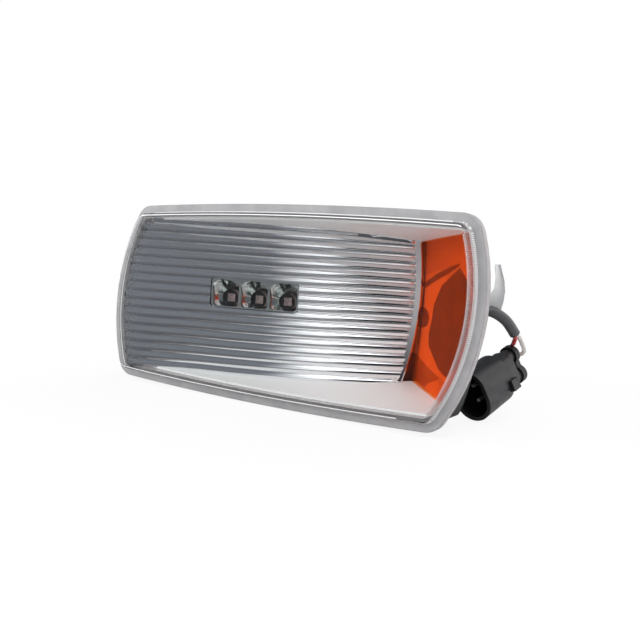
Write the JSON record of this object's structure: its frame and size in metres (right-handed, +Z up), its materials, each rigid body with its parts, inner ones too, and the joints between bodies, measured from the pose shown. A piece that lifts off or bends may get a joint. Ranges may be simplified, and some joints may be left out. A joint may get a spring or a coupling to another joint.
{
  "type": "vehicle side repeater lamp",
  "caption": "Flush side lamp with a clear bowed lens, fluted chrome reflector, LED window, amber end chamber and a short lead with a plug.",
  "frame": {"origin": "on the plane of the two rear mounting pads, midway between their threaded inserts", "axes": "+X along the lamp towards the amber end, +Y to the rear out of the mounting pads, +Z up"},
  "size_m": [0.175, 0.0866, 0.08],
  "materials": {
    "clear_lens": "clear moulded plastic, polished",
    "black_plastic": "black, fine grain",
    "chromed_plastic": "vacuum metallised, bright",
    "board": "black solder mask",
    "light_package": "ceramic package under clear resin",
    "light_amber": "amber phosphor under clear resin",
    "component_black": "moulded",
    "component_metal": "can with a plastic base",
    "screw_steel": "zinc plated",
    "amber": "translucent amber plastic",
    "insert_brass": "turned",
    "vent_plastic": "moulded",
    "black_rubber": "soft black",
    "red_insulation": "smooth insulation",
    "pale_insulation": "smooth insulation",
    "sleeve_rubber": "soft dark grey sleeve",
    "label_film": "white film",
    "connector_plastic": "dark grey, slight sheen",
    "connector_collar_plastic": "black",
    "seal_rubber": "soft red brown",
    "terminal_metal": "tin plated"
  },
  "bodies": {
    "root": {"lens": "clear_lens", "housing": "black_plastic", "reflector": "chromed_plastic", "cell_reflector": "chromed_plastic", "led_board": "board", "led_1": "light_package", "led_2": "light_package", "led_3": "light_package", "regulator": "component_black", "capacitor": "component_metal", "diode": "component_black", "resistor_left": "component_black", "resistor_right": "component_black", "board_screw_left": "screw_steel", "board_screw_right": "screw_steel", "amber_filter": "amber", "side_reflector": "chromed_plastic", "side_led_board": "board", "side_led": "light_amber", "insert_left": "insert_brass", "insert_right": "insert_brass", "vent_plug": "vent_plastic", "lead_grommet": "black_rubber", "wire_red": "red_insulation", "wire_pale": "pale_insulation", "lead_sleeve": "sleeve_rubber", "label_flag": "label_film", "connector_housing": "connector_plastic", "connector_collar": "connector_collar_plastic", "wire_seal_upper": "seal_rubber", "wire_seal_lower": "seal_rubber", "terminal_upper": "terminal_metal", "terminal_lower": "terminal_metal"}
  },
  "joints": []
}
